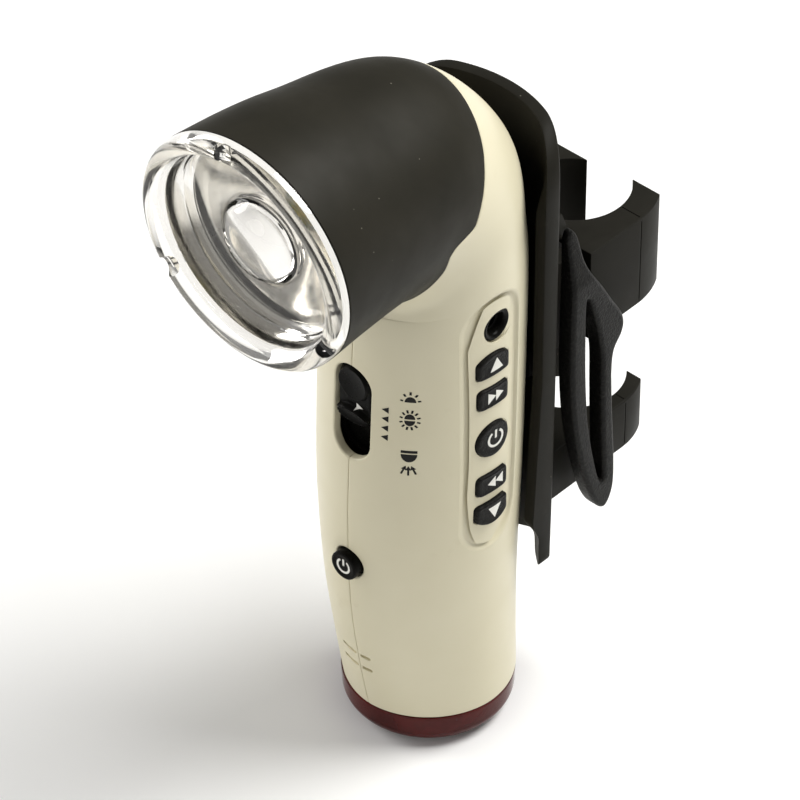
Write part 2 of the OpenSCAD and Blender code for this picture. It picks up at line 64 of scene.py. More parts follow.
class Nodes:
    """A small builder around one material's node tree."""

    def __init__(self, name):
        self.material = bpy.data.materials.new(name)
        self.material.use_nodes = True
        self.tree = self.material.node_tree
        self.bsdf = self.tree.nodes["Principled BSDF"]
        self.coords = self.tree.nodes.new("ShaderNodeTexCoord").outputs["Object"]

    def put(self, value, socket):
        """Links another socket to this one, or sets its value. A colour is a tuple."""
        if isinstance(value, bpy.types.NodeSocket):
            self.tree.links.new(value, socket)
        else:
            socket.default_value = (*value, 1.0) if isinstance(value, tuple) else value

    def add(self, kind, **inputs):
        node = self.tree.nodes.new(kind)
        for key, value in inputs.items():
            self.put(value, node.inputs[key.replace("_", " ")])
        return node

    def noise(self, size, detail=3.0, rough=0.55):
        """Noise whose blobs are about size millimetres across."""
        node = self.add("ShaderNodeTexNoise", Vector=self.coords, Scale=1 / (size * MM), Detail=detail,
                        Roughness=rough)
        return node.outputs["Fac"]

    def cells(self, size):
        """Distance to the middle of the nearest cell, for cells about size millimetres across."""
        node = self.add("ShaderNodeTexVoronoi", Vector=self.coords, Scale=1 / (size * MM))
        return node.outputs["Distance"]

    def span(self, value, low, high, to_low=0.0, to_high=1.0):
        """Maps low..high onto to_low..to_high."""
        node = self.add("ShaderNodeMapRange", Value=value, From_Min=low, From_Max=high, To_Min=to_low,
                        To_Max=to_high)
        return node.outputs["Result"]

    def mix(self, factor, a, b):
        """Mixes two colours. The colour sockets of a mix node are its inputs 6 and 7 and output 2."""
        node = self.add("ShaderNodeMix", Factor=factor)
        node.data_type = "RGBA"
        self.put(a, node.inputs[6])
        self.put(b, node.inputs[7])
        return node.outputs[2]

    def bump(self, height, depth, strength=1.0, under=None):
        """Bump whose full height is depth millimetres."""
        node = self.add("ShaderNodeBump", Height=height, Distance=depth * MM, Strength=strength)
        if under is not None:
            self.put(under, node.inputs["Normal"])
        return node.outputs["Normal"]

    def set(self, **sockets):
        """Sets the surface's sockets by name and returns the finished material."""
        for key, value in sockets.items():
            self.put(value, self.bsdf.inputs[key.replace("_", " ")])
        return self.material


def plain_surface(name, colour, shade, rough, grain=0.25, grain_depth=0.01, patch=14.0, dust=None,
                  wear=None, **sockets):
    """Colour that drifts to shade over patches, roughness that varies, and a fine grain.
    dust sprinkles specks of a colour, wear shifts the colour in rubbed blotches."""
    n = Nodes(name)
    drift = n.span(n.noise(patch), 0.3, 0.7)
    base = n.mix(drift, colour, shade)
    if wear is not None:
        rubbed = n.span(n.noise(patch * 0.35, 6.0, 0.7), 0.62, 0.8)
        base = n.mix(rubbed, base, wear)
    if dust is not None:
        speck = n.span(n.cells(5.5), 0.035, 0.02)
        base = n.mix(speck, base, dust)
    roughness = n.span(n.noise(patch * 0.5, 5.0), 0.25, 0.75, rough - 0.05, rough + 0.06)
    broad = n.bump(n.noise(patch * 0.6, 2.0), grain_depth * 2.5, 0.35)
    fine = n.bump(n.noise(grain, 2.0), grain_depth, 0.6, broad)
    return n.set(Base_Color=base, Roughness=roughness, Normal=fine, **sockets)


def pebble_rubber():
    """Rubber with the small round bumps that the strap and the keys have."""
    n = Nodes("pebble_rubber")
    pebble = n.span(n.cells(0.42), 0.0, 0.75, 1.0, 0.0)
    tint = n.mix(n.span(n.noise(0.8, 4.0), 0.45, 0.7), (0.004, 0.0038, 0.0034), (0.013, 0.0124, 0.0105))
    normal = n.bump(n.noise(0.25, 2.0), 0.03, 0.5, n.bump(pebble, 0.085, 0.85))
    return n.set(Base_Color=tint, Roughness=n.span(n.noise(0.6), 0.3, 0.7, 0.34, 0.54), Normal=normal,
                 Specular_IOR_Level=0.10)


def clear_plastic():
    n = Nodes("clear_lens")
    ripple = n.bump(n.noise(5.0, 2.0), 0.02, 0.35)
    scuff = n.span(n.noise(1.2, 6.0, 0.75), 0.55, 0.8, 0.02, 0.07)
    return n.set(Base_Color=(0.99, 0.975, 0.945), Roughness=scuff, IOR=1.46, Transmission_Weight=1.0,
                 Normal=ripple)


def mirror_coat():
    """Bright metal coat on plastic, a little uneven."""
    n = Nodes("chrome_reflector")
    ripple = n.bump(n.noise(3.2, 2.0), 0.10, 0.5)
    tint = n.mix(n.span(n.noise(6.0), 0.3, 0.7), (0.97, 0.955, 0.91), (0.91, 0.895, 0.85))
    return n.set(Base_Color=tint, Metallic=1.0, Roughness=n.span(n.noise(2.0), 0.3, 0.7, 0.13, 0.26),
                 Normal=ripple)


def bare_metal(name, colour, shade):
    n = Nodes(name)
    grain = n.noise(0.3, 4.0)
    return n.set(Base_Color=n.mix(n.span(n.noise(4.0), 0.3, 0.7), colour, shade), Metallic=1.0,
                 Roughness=n.span(grain, 0.3, 0.7, 0.24, 0.44), Normal=n.bump(grain, 0.01, 0.5))


def tail_red():
    n = Nodes("red_lens")
    depth = n.mix(n.span(n.noise(7.0), 0.3, 0.7), (0.120, 0.010, 0.008), (0.060, 0.005, 0.004))
    return n.set(Base_Color=depth, Roughness=n.span(n.noise(1.5, 5.0), 0.4, 0.8, 0.05, 0.14),
                 Transmission_Weight=0.3, IOR=1.50, Specular_IOR_Level=0.03,
                 Normal=n.bump(n.noise(4.0), 0.02, 0.3))


# Colour, shade, roughness and what else plain_surface takes
PLAIN = {
    "ivory_shell": dict(colour=(0.68, 0.632, 0.465), shade=(0.65, 0.60, 0.43), rough=0.36, grain=0.3,
                        grain_depth=0.007, patch=30.0, wear=(0.615, 0.56, 0.395),
                        Specular_IOR_Level=0.40),
    "soft_black": dict(colour=(0.022, 0.020, 0.0145), shade=(0.016, 0.0148, 0.0105), rough=0.52,
                       grain=0.2, patch=18.0, dust=(0.16, 0.15, 0.12), Specular_IOR_Level=0.10),
    "seal_rubber": dict(colour=(0.014, 0.014, 0.013), shade=(0.022, 0.021, 0.02), rough=0.6),
    "led_phosphor": dict(colour=(0.85, 0.72, 0.22), shade=(0.8, 0.66, 0.16), rough=0.4, grain=0.1),
    "circuit_board": dict(colour=(0.012, 0.10, 0.045), shade=(0.02, 0.14, 0.06), rough=0.35, grain=0.8,
                          grain_depth=0.03, patch=6.0),
    "red_reflector": dict(colour=(0.22, 0.015, 0.016), shade=(0.12, 0.01, 0.01), rough=0.22, grain=0.6,
                          grain_depth=0.03, patch=5.0),
    "tail_led": dict(colour=(0.75, 0.10, 0.07), shade=(0.55, 0.06, 0.05), rough=0.25, grain=0.4,
                     grain_depth=0.02),
    "black_plastic": dict(colour=(0.013, 0.0122, 0.0098), shade=(0.017, 0.016, 0.0127), rough=0.46,
                          grain=0.35, grain_depth=0.018, patch=12.0, dust=(0.13, 0.12, 0.10),
                          wear=(0.023, 0.0215, 0.017), Specular_IOR_Level=0.05),
    "gloss_black": dict(colour=(0.004, 0.0038, 0.0033), shade=(0.006, 0.0058, 0.005), rough=0.28,
                        grain=0.5, patch=5.0, wear=(0.012, 0.0115, 0.010), Specular_IOR_Level=0.05),
    "battery_sleeve": dict(colour=(0.03, 0.075, 0.035), shade=(0.05, 0.10, 0.05), rough=0.35),
    "ferrite": dict(colour=(0.035, 0.033, 0.03), shade=(0.10, 0.05, 0.02), rough=0.5, grain=0.4,
                    grain_depth=0.02),
    "white_print": dict(colour=(0.82, 0.81, 0.76), shade=(0.74, 0.73, 0.68), rough=0.45, grain=0.2,
                        patch=3.0, wear=(0.6, 0.59, 0.54)),
    "black_print": dict(colour=(0.006, 0.0058, 0.005), shade=(0.010, 0.0095, 0.0085), rough=0.5,
                        grain=0.2, patch=2.0, wear=(0.03, 0.028, 0.024), Specular_IOR_Level=0.15),
}
MATERIALS = {name: plain_surface(name, **look) for name, look in PLAIN.items()}
MATERIALS |= {
    "pebble_rubber": pebble_rubber(),
    "clear_lens": clear_plastic(),
    "chrome_reflector": mirror_coat(),
    "red_lens": tail_red(),
    "sink_aluminium": bare_metal("sink_aluminium", (0.70, 0.71, 0.72), (0.6, 0.61, 0.62)),
    "steel": bare_metal("steel", (0.62, 0.62, 0.63), (0.5, 0.5, 0.51)),
}

# ---------------------------------------------------------------- mesh helpers


def placed(name, data):
    obj = bpy.data.objects.new(name, data)
    bpy.context.scene.collection.objects.link(obj)
    return obj


def new_object(name, verts, faces, smooth_angle=32.0):
    """Object from vertices in millimetres, with outward normals and soft shading up to an angle."""
    mesh = bpy.data.meshes.new(name)
    mesh.from_pydata([tuple(float(c) * MM for c in v) for v in verts], [], faces)
    tidy_mesh(mesh, smooth_angle)
    return placed(name, mesh)


def tidy_mesh(mesh, smooth_angle=32.0, merge=0.0):
    """Turns all normals outwards and shades softly up to an angle. merge welds close points."""
    bm = bmesh.new()
    bm.from_mesh(mesh)
    if merge:
        bmesh.ops.remove_doubles(bm, verts=bm.verts, dist=merge)
    bmesh.ops.recalc_face_normals(bm, faces=bm.faces)
    limit = math.radians(smooth_angle)
    for f in bm.faces:
        f.smooth = True
    for e in bm.edges:
        e.smooth = len(e.link_faces) != 2 or e.calc_face_angle(0.0) < limit
    bm.to_mesh(mesh)
    bm.free()


def bake_modifiers(obj):
    """Replaces the object's mesh by the result of its modifiers."""
    graph = bpy.context.evaluated_depsgraph_get()
    mesh = bpy.data.meshes.new_from_object(obj.evaluated_get(graph))
    obj.modifiers.clear()
    old, obj.data = obj.data, mesh
    bpy.data.meshes.remove(old)


def cut(obj, *cutters, smooth_angle=32.0):
    """Takes the cutters out of obj, one after another, and deletes them."""
    for c in cutters:
        mod = obj.modifiers.new("cut", "BOOLEAN")
        mod.operation, mod.solver, mod.object = "DIFFERENCE", "MANIFOLD", c
        bpy.context.view_layer.update()
        bake_modifiers(obj)
        bpy.data.objects.remove(c)
    tidy_mesh(obj.data, smooth_angle)


def soften(obj, width, angle=35.0, segments=3, smooth_angle=40.0):
    """Rounds the sharp edges of a plain solid."""
    mod = obj.modifiers.new("soften", "BEVEL")
    mod.width, mod.segments, mod.limit_method = width * MM, segments, "ANGLE"
    mod.angle_limit = math.radians(angle)
    mod.use_clamp_overlap = True
    bpy.context.view_layer.update()
    bake_modifiers(obj)
    tidy_mesh(obj.data, smooth_angle)


def bridge(rings, closed=False):
    """Verts and faces of a tube of rings with equal point counts. Open ends get flat caps."""
    n = len(rings[0])
    verts = [p for r in rings for p in r]
    count = len(rings)
    faces = []
    for i in range(count if closed else count - 1):
        a, b = i * n, ((i + 1) % count) * n
        faces += [(a + j, a + (j + 1) % n, b + (j + 1) % n, b + j) for j in range(n)]
    if not closed:
        faces += [tuple(range(n - 1, -1, -1)), tuple(range((count - 1) * n, count * n))]
    return verts, faces


def lathe(name, profile, steps, place, closed=True):
    """Turns (radius, height) points about the local Z axis of place. closed joins the last point
    to the first one, otherwise both ends get a flat cap."""
    turns = [2 * math.pi * k / steps for k in range(steps)]
    rings = [[place @ Vector((r * math.cos(a), r * math.sin(a), h)) for a in turns]
             for r, h in profile]
    return new_object(name, *bridge(rings, closed))


def arc(cx, cy, r, start, end, n):
    """n points of a circle, from start to end in degrees."""
    angles = np.radians(np.linspace(start, end, n))
    return [(cx + r * math.cos(a), cy + r * math.sin(a)) for a in angles]


def rounded(points, radius, n=5):
    """Closed polygon with each corner replaced by a curve that starts radius from it."""
    out = []
    count = len(points)
    for i in range(count):
        p = np.array(points[i], float)
        ends = []
        for q in (points[i - 1], points[(i + 1) % count]):
            d = np.array(q, float) - p
            length = np.linalg.norm(d)
            ends.append(p + d / length * min(radius, length * 0.48))
        for t in np.linspace(0, 1, n):
            out.append(tuple((1 - t) ** 2 * ends[0] + 2 * t * (1 - t) * p + t * t * ends[1]))
    return out


def resample(points, count):
    """Evenly spaced points along a closed loop."""
    p = np.array(points, float)
    p = np.vstack([p, p[:1]])
    run = np.concatenate([[0], np.cumsum(np.linalg.norm(np.diff(p, axis=0), axis=1))])
    at = np.linspace(0, run[-1], count + 1)[:-1]
    return np.column_stack([np.interp(at, run, p[:, k]) for k in range(p.shape[1])])


def grown(loop, distance):
    """A smooth closed loop moved outwards by a distance."""
    p = np.array(loop, float)
    d = np.roll(p, -1, 0) - np.roll(p, 1, 0)
    normal = np.column_stack([d[:, 1], -d[:, 0]])
    normal /= np.linalg.norm(normal, axis=1)[:, None] + 1e-12
    area = np.sum(p[:, 0] * np.roll(p[:, 1], -1) - np.roll(p[:, 0], -1) * p[:, 1])
    return p + normal * distance * (1 if area > 0 else -1)


def stadium(cx, cy, width, height, n=64):
    """Upright stadium: width across, height along the second coordinate."""
    r, h = width / 2, height / 2 - width / 2
    pts = arc(cx, cy + h, r, 0, 180, n // 2) + arc(cx, cy - h, r, 180, 360, n // 2)
    return resample(pts, n)


def circle(cx, cy, r, n=64):
    """n points of a whole circle."""
    return arc(cx, cy, r, 0, 360, n + 1)[:-1]


FROM_FRONT, FROM_KEYPAD_SIDE = (0, 1, 0), (-1, 0, 0)


def caster(obj, direction):
    """Function that finds the point and the normal of obj's surface that a ray from outside meets
    at (x, z), or at (y, z) from the keypad side."""
    tree = BVHTree.FromObject(obj, bpy.context.evaluated_depsgraph_get())

    def hit(a, b):
        start = Vector((a, -120, b)) if direction == FROM_FRONT else Vector((100, a, b))
        place, normal, _, _ = tree.ray_cast(start * MM, Vector(direction))
        return np.array(place) / MM, np.array(normal)
    return hit


# ---------------------------------------------------------------- the torch's skin

TAIL_LOW, TAIL_HIGH = box_mm("tail_lens")
TAIL_H, TAIL_R = TAIL_HIGH[2], TAIL_HIGH[0]
TAIL_Y = (TAIL_LOW[1] + TAIL_HIGH[1]) / 2
BODY_HALF_W, BACK_Y, BELLY_Y = 23.2, 20.0, 27.5
LENS_Z, HEAD_REACH, HEAD_R, TILT = 166.2, 56.5, 28.7, 3.3
ELBOW = (-31.0, 128.0)  # (y, z) that the neck bends about
SHELL_T = 2.0
SEAM_GAP, COVER_GAP = 0.06, 0.05


def fan(angle, inner, outer, half_w):
    """Station on a line through the elbow, angle degrees down from upright towards the back."""
    a = math.radians(angle)
    s, c = math.sin(a), math.cos(a)
    return (ELBOW[0] + inner * s, ELBOW[1] + inner * c, ELBOW[0] + outer * s, ELBOW[1] + outer * c,
            half_w, 2)


LEAN = math.sin(math.radians(TILT)) * HEAD_R
# Each station: front y, front z, back y, back z, half width, roundness of the front half
STATIONS = np.array([
    (-TAIL_R - 0.5, TAIL_H, BACK_Y, TAIL_H, TAIL_R, 1.9),
    (-BELLY_Y + 3.6, 25, BACK_Y, 25, TAIL_R + 0.1, 1.9),
    (-BELLY_Y + 0.8, 45, BACK_Y, 45, TAIL_R + 0.8, 1.95),
    (-BELLY_Y, 70, BACK_Y, 70, BODY_HALF_W - 0.6, 2),
    (-BELLY_Y + 0.8, 94, BACK_Y, 94, BODY_HALF_W, 2),
    fan(90, 5.8, 51.2, BODY_HALF_W),
    fan(70, 6.6, 53.0, BODY_HALF_W),
    fan(50, 7.7, 59.0, BODY_HALF_W + 0.3),
    fan(25, 9.0, 63.0, BODY_HALF_W + 1.5),
    fan(0, 10.2, 63.3, BODY_HALF_W + 3.4),
    (-HEAD_REACH + 13.2, 138.0, -HEAD_REACH + 12.2, 193.8, HEAD_R - 1.1, 2),
    (-HEAD_REACH + LEAN, LENS_Z - HEAD_R, -HEAD_REACH - LEAN, LENS_Z + HEAD_R, HEAD_R, 2)])
LAST = len(STATIONS) - 1


def station(t):
    """Smooth blend of the stations at place t."""
    t = np.asarray(t, float)
    k = np.clip(np.floor(t).astype(int), 0, LAST - 1)
    f = (t - k)[..., None]
    a, b = STATIONS[np.maximum(k - 1, 0)], STATIONS[k]
    c, d = STATIONS[k + 1], STATIONS[np.minimum(k + 2, LAST)]
    return 0.5 * (2 * b + (c - a) * f + (2 * a - 5 * b + 4 * c - d) * f ** 2
                  + (3 * b - a - 3 * c + d) * f ** 3)


def skin(t, u, inset=0.0):
    """Point of the torch's outside. t runs along the stations, u in degrees from the front (-90)
    over +X (0) to the back (90). inset moves the point inwards."""
    s = station(t)
    u = np.radians(np.asarray(u, float))
    inset = np.asarray(inset, float)
    front, back = s[..., 0:2], s[..., 2:4]
    half = (back - front) / 2
    reach = np.linalg.norm(half, axis=-1)[..., None]
    half = half * (1 - inset[..., None] / reach)
    mid = (front + back) / 2
    n = np.where(np.sin(u) < 0, s[..., 5], 2.0)
    r = (np.abs(np.cos(u)) ** n + np.abs(np.sin(u)) ** n) ** (-1 / n)
    yz = mid + half * (r * np.sin(u))[..., None]
    x = (s[..., 4] - inset) * r * np.cos(u)
    return np.stack([x, yz[..., 0], yz[..., 1]], axis=-1)


# Side view of the head cover's rear edge, from below upwards
EDGE = np.array([(-26.6, 130.0), (-24.8, 137.4), (-20.8, 151.4), (-20.9, 156.0), (-18.8, 158.2),
                 (-13.4, 158.8), (19.8, 215.0)])
EDGE_SOFTNESS = 0.7


def edge_y(z):
    """The rear edge's y at a height, with its corners rounded."""
    return np.mean([np.interp(z + k * EDGE_SOFTNESS / 3, EDGE[:, 1], EDGE[:, 0])
                    for k in range(-3, 4)], axis=0)


def edge_station(u):
    """Where along the stations the line of skin at u passes under the head cover."""
    ts = np.linspace(4.0, LAST, 1600)
    p = skin(ts, np.full_like(ts, u))
    covered = (p[:, 1] < edge_y(p[:, 2])) & (p[:, 2] > EDGE[0, 1])
    bare = np.nonzero(~covered)[0]
    return ts[bare[-1]]


RUN_T = np.linspace(0, LAST, 1200)
SIDE_STEPS = np.diff(skin(RUN_T, np.zeros_like(RUN_T)), axis=0)
RUN_S = np.concatenate([[0], np.cumsum(np.linalg.norm(SIDE_STEPS, axis=1))])


def along(t):
    """Length of the skin's side line from the base to station t."""
    return np.interp(t, RUN_T, RUN_S)


def at_length(s):
    """Station at a length of the skin's side line."""
    return np.interp(s, RUN_S, RUN_T)


def columns(n):
    """Angles from the front seam to the back one, closer together beside the seams."""
    near = np.array([0.0, 0.3, 0.8, 1.6])
    return np.concatenate([-90 + near, np.linspace(-87.6, 87.6, n), 90 - near[::-1]])


def shell(angles, t_start, t_end, rows, seam=True):
    """Rows of points round a wall between two lines of the skin, with rounded ends. seam rounds
    its long edges too."""
    roll = [(0.0, SHELL_T), (0.0, 0.45), (0.03, 0.16), (0.12, 0.04), (0.3, 0.0)]
    s0, s1 = along(t_start), along(t_end)
    lines = [(s0 + d, inset) for d, inset in roll]
    lines += [(s0 + (s1 - s0) * k, 0.0) for k in np.linspace(0, 1, rows)[1:-1]]
    lines += [(s1 - d, inset) for d, inset in reversed(roll)]
    inner = [(s0 + (s1 - s0) * k, SHELL_T) for k in np.linspace(1, 0, rows // 3)[1:-1]]
    edge = np.zeros(len(angles))
    if seam:
        edge[[0, -1]], edge[[1, -2]] = 0.20, 0.05
    grid = []
    for s, inset in lines + inner:
        extra = edge if inset < SHELL_T else 0.0
        grid.append(skin(at_length(s), angles, np.full(len(angles), inset) + extra))
    return grid


def ring_faces(rows, cols, wrap):
    """Faces of a grid whose last row meets its first. wrap joins its last column to its first."""
    faces = []
    for i in range(rows):
        a, b = i * cols, ((i + 1) % rows) * cols
        for j in range(cols if wrap else cols - 1):
            k = (j + 1) % cols
            faces.append((a + j, a + k, b + k, b + j))
    return faces


def half_housing(name, side):
    """One half of the ivory housing. side is 1 for +X and -1 for -X."""
    angles = columns(112)
    t_end = np.array([edge_station(u) for u in angles])
    grid = shell(angles, np.zeros(len(angles)), t_end, 210)
    verts = np.array(grid).reshape(-1, 3)
    verts[:, 0] = side * np.maximum(verts[:, 0], SEAM_GAP)
    n, m = len(grid), len(angles)
    faces = ring_faces(n, m, wrap=False)
    faces += [tuple(i * m for i in range(n)), tuple(i * m + m - 1 for i in range(n - 1, -1, -1))]
    return new_object(name, verts, faces)


# Features on the front, in (x, z), and on the keypad side, in (y, z)
SLOT_Z, SLOT_LEN, SLOT_W = 101.8, 25.6, 10.6
BTN_LOW, BTN_HIGH = box_mm("front_button")
BTN_Z = (BTN_LOW[2] + BTN_HIGH[2]) / 2
BTN_R, BTN_GAP, BTN_FACE_Y = 3.7, 0.3, BTN_LOW[1]
# Each key's kind and height
KEYS = {"key_up": ("up", 116.2), "key_forward": ("bar", 106.8), "key_power": ("power", 94.3),
        "key_rewind": ("bar", 81.6), "key_down": ("down", 72.4)}
KEY_LOW, KEY_HIGH = box_mm("key_power")
KEY_Y = (KEY_LOW[1] + KEY_HIGH[1]) / 2
KEY_W, KEY_FLANGE, KEY_GAP = 9.2, 0.7, 0.28
KEY_TOP_R, KEY_TOP_Y = 23.8, -3.4  # the keys' faces lie on one cylinder
JACK_Y, JACK_Z, JACK_HOLE_R = -3.6, 125.7, 4.25
RECESS = dict(cx=KEY_Y + 0.8, cy=98.0, width=17.0, height=72.6)
RECESS_DEPTHS = [0.6, 1.2]  # at the front edge and at the rear edge
# (grow, depth below the surface) of a rim with a rounded edge
SOFT_RIM = [(0.55, -0.6), (0.42, 0.02), (0.2, 0.11), (0.06, 0.28), (0.0, 0.55)]


def front_cutter(name, loop, depth, hit, rim=SOFT_RIM):
    """Solid that cuts a loop, given in (x, z), into the front, with a rounded rim."""
    rings = [[(x, hit(x, z)[0][1] + down, z) for x, z in grown(loop, grow)]
             for grow, down in rim + [(0.0, depth)]]
    return new_object(name, *bridge(rings))


def recess_cutter(hit):
    """The keypad's long shallow recess, with a floor that follows the skin."""
    loop = stadium(**RECESS, n=200)
    middle = np.array([RECESS["cx"], RECESS["cy"]])
    ends = [RECESS["cx"] - RECESS["width"] / 2, RECESS["cx"] + RECESS["width"] / 2]
    rings = [[(hit(y, z)[0][0] - down, y, z) for y, z in grown(loop, grow)]
             for grow, down in [(0.9, -0.7), (0.7, 0.02), (0.35, 0.07), (0.05, 0.18)]]
    inner = grown(loop, -1.4)
    floor = [(grown(loop, -in_by), share) for in_by, share in ((0.3, 0.45), (0.6, 0.78), (1.0, 0.96))]
    floor += [(inner, 1.0)]
    floor += [(middle + (inner - middle) * k, 1.0) for k in (0.8, 0.6, 0.4, 0.2, 0.05)]
    for points, share in floor:
        rings.append([(hit(y, z)[0][0] - np.interp(y, ends, RECESS_DEPTHS) * share, y, z)
                      for y, z in points])
    return new_object("recess", *bridge(rings))


def key_loop(kind, grow=0.0, count=72):
    """A key's outline in (y, z) about its own middle."""
    w = KEY_W / 2
    if kind == "power":
        loop = circle(0, 0, w + 0.1, count)
    elif kind == "bar":
        a, b = w - 0.2, 2.8
        loop = rounded([(a, -b), (a, b), (-a, b), (-a, -b)], 1.3)
    else:
        r = w + 1.7
        side = math.degrees(math.acos(w / r))
        dome = arc(0, -3.4, r, side, 180 - side, 24)
        loop = rounded([(-w, -3.4), (w, -3.4)] + dome, 0.9)
        loop = loop if kind == "up" else [(y, -z) for y, z in loop]
    return grown(resample(loop, count), grow)


def side_prism(name, loop, y, z, x0, x1):
    """Solid along X from x0 to x1, with a (y, z) outline moved to y and z."""
    rings = [[(x, y + a, z + b) for a, b in loop] for x in (x0, x1)]
    return new_object(name, *bridge(rings))


def joined(name, objects):
    """One object from several that don't overlap."""
    bm = bmesh.new()
    for o in objects:
        bm.from_mesh(o.data)
        bpy.data.objects.remove(o)
    mesh = bpy.data.meshes.new(name)
    bm.to_mesh(mesh)
    bm.free()
    return placed(name, mesh)


# Heights of the two short grooves low on the front, and the middle x and length of their halves
GROOVE_ZS = (23.2, 27.4)
GROOVE_HALVES = ((-3.05, 5.1), (1.95, 2.9))


def front_cutters(hit):
    """The mode slot, the power button's hole and the two grooves."""
    slot = front_cutter("slot", stadium(0, SLOT_Z, SLOT_W, SLOT_LEN, 96), 8.0, hit)
    button = front_cutter("button", resample(circle(0, BTN_Z, BTN_R + BTN_GAP), 64), 7.0, hit)
    rim = [(0.1, -0.5), (0.1, 0.01), (0.0, 0.14)]
    grooves = [front_cutter("groove", stadium(0, 0, 1.0, length, 64)[:, ::-1] + (x, z), 0.8, hit, rim)
               for z in GROOVE_ZS for x, length in GROOVE_HALVES]
    return joined("front_cuts", [slot, button] + grooves)


# The whole skin as one closed solid. It is only there for rays to meet, and is removed later.
around = np.linspace(-90, 270, 161)[:-1]
whole = new_object("probe", *bridge([list(skin(np.full(160, t), around))
                                     for t in np.linspace(0, LAST, 260)]))
hit_front = caster(whole, FROM_FRONT)
hit_side = caster(whole, FROM_KEYPAD_SIDE)

left = half_housing("housing_left_shell", -1)
cut(left, front_cutters(hit_front))
right = half_housing("housing_right_shell", 1)
holes = [side_prism("hole", key_loop(kind, KEY_GAP), KEY_Y, z, 15, 26) for kind, z in KEYS.values()]
holes.append(side_prism("hole", resample(circle(0, 0, JACK_HOLE_R), 64), JACK_Y, JACK_Z, 15, 30))
cut(right, front_cutters(hit_front), recess_cutter(hit_side), joined("holes", holes))


def piece(obj, material, body, *nodes, slot=None):
    """Gives a piece its material and its body. nodes are the CAD nodes that it replaces."""
    obj.data.materials.clear()
    obj.data.materials.append(MATERIALS[material])
    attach(obj, body)
    if nodes:
        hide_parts(*nodes)


piece(left, "ivory_shell", "torch", "housing_left")
piece(right, "ivory_shell", "torch", "housing_right")

# ---------------------------------------------------------------- head cover


def head_cover():
    """The soft cover round the head, from its wavy rear edge to the lens."""
    angles = np.linspace(-90, 270, 221)[:-1]
    folded = np.where(angles > 90, 180 - angles, angles)
    t_start = np.array([edge_station(u) for u in folded])
    t_start = at_length(along(t_start) + COVER_GAP)
    grid = shell(angles, t_start, np.full(len(angles), float(LAST)), 130, seam=False)
    return new_object("head_cover_shell", np.array(grid).reshape(-1, 3),
                      ring_faces(len(grid), len(angles), wrap=True))


piece(head_cover(), "soft_black", "torch", "head_cover")

# ---------------------------------------------------------------- lens, reflector and lamp

LENS_PLACE = (Matrix.Translation((0, -HEAD_REACH, LENS_Z))
              @ Matrix.Rotation(math.radians(90 + TILT), 4, "X"))
REFLECTOR_R = 22.3
NOTCH_ANGLES = (94, 214, 334)


def lens_cap():
    """Thick clear ring with a bulge in its middle and three notches in its rim."""
    rim = [(28.65, 0.3), (28.7, 1.2), (28.6, 2.4), (28.2, 3.4), (27.5, 4.15), (26.6, 4.45),
           (25.7, 4.35), (24.9, 3.8), (24.4, 2.9), (24.0, 1.6), (23.6, -0.4), (23.2, -2.4),
           (22.7, -3.2), (21.8, -3.4), (12.0, -3.4), (10.7, -3.1), (10.1, -2.4), (9.4, -1.4), (8.3, -0.3),
           (6.7, 0.75), (4.6, 1.5), (2.3, 1.9), (0.001, 2.0), (0.001, -5.0), (22.4, -5.0),
           (23.6, -5.6), (25.1, -5.6), (25.1, 0.1), (25.3, 0.3)]
    cap = lathe("lens_cap", rim, 192, LENS_PLACE)
    loop = arc(0, 4.6, 2.4, 180, 360, 17) + [(2.6, 8), (-2.6, 8)]
    notches = []
    for angle in NOTCH_ANGLES:
        turn = LENS_PLACE @ Matrix.Rotation(math.radians(angle), 4, "Z")
        rings = [[turn @ Vector((r, a, h)) for a, h in loop] for r in (24.6, 31)]
        notches.append(new_object("notch", *bridge(rings)))
    cut(cap, joined("notches", notches), smooth_angle=38)
    return cap


def lens_backing():
    """Thin bright foil that lines the seat of the lens cap."""
    sheet = [(22.5, -5.68), (25.12, -5.68), (25.12, 0.24), (28.35, 0.24), (28.35, 0.06), (25.2, 0.06),
             (25.2, -5.78), (22.5, -5.78)]
    return lathe("lens_backing", sheet, 160, LENS_PLACE)


def reflector():
    """Thin bowl whose inside is a parabola."""
    neck, depth, steps = 5.0, 18.6, 26
    inside = []
    for i in range(steps + 1):
        r = neck + (REFLECTOR_R - neck) * i / steps
        h = -5.4 - depth * (1 - (r * r - neck ** 2) / (REFLECTOR_R ** 2 - neck ** 2))
        inside.append((r, h))
    outside = [(r + 0.7, h - 0.7) for r, h in reversed(inside)]
    return lathe("reflector_bowl", inside + outside, 128, LENS_PLACE)


def focus_lens():
    """A domed front and a deep bowl-shaped back, as a beam-shaping lens has."""
    r = 9.6
    dome = [(r * math.sin(a), -6.9 + 1.6 * math.cos(a)) for a in np.radians(np.linspace(0.5, 90, 14))]
    bowl = [(r * math.cos(a), -6.9 - 6.0 * math.sin(a)) for a in np.radians(np.linspace(0, 89.5, 20))]
    return lathe("focus_lens_dome", dome + bowl[1:], 96, LENS_PLACE, closed=False)


piece(lens_cap(), "clear_lens", "torch", "lens")
piece(reflector(), "chrome_reflector", "torch", "reflector")
piece(lens_backing(), "chrome_reflector", "torch", slot="chrome_reflector")
piece(focus_lens(), "clear_lens", "torch", "focus_lens")

# ---------------------------------------------------------------- tail light


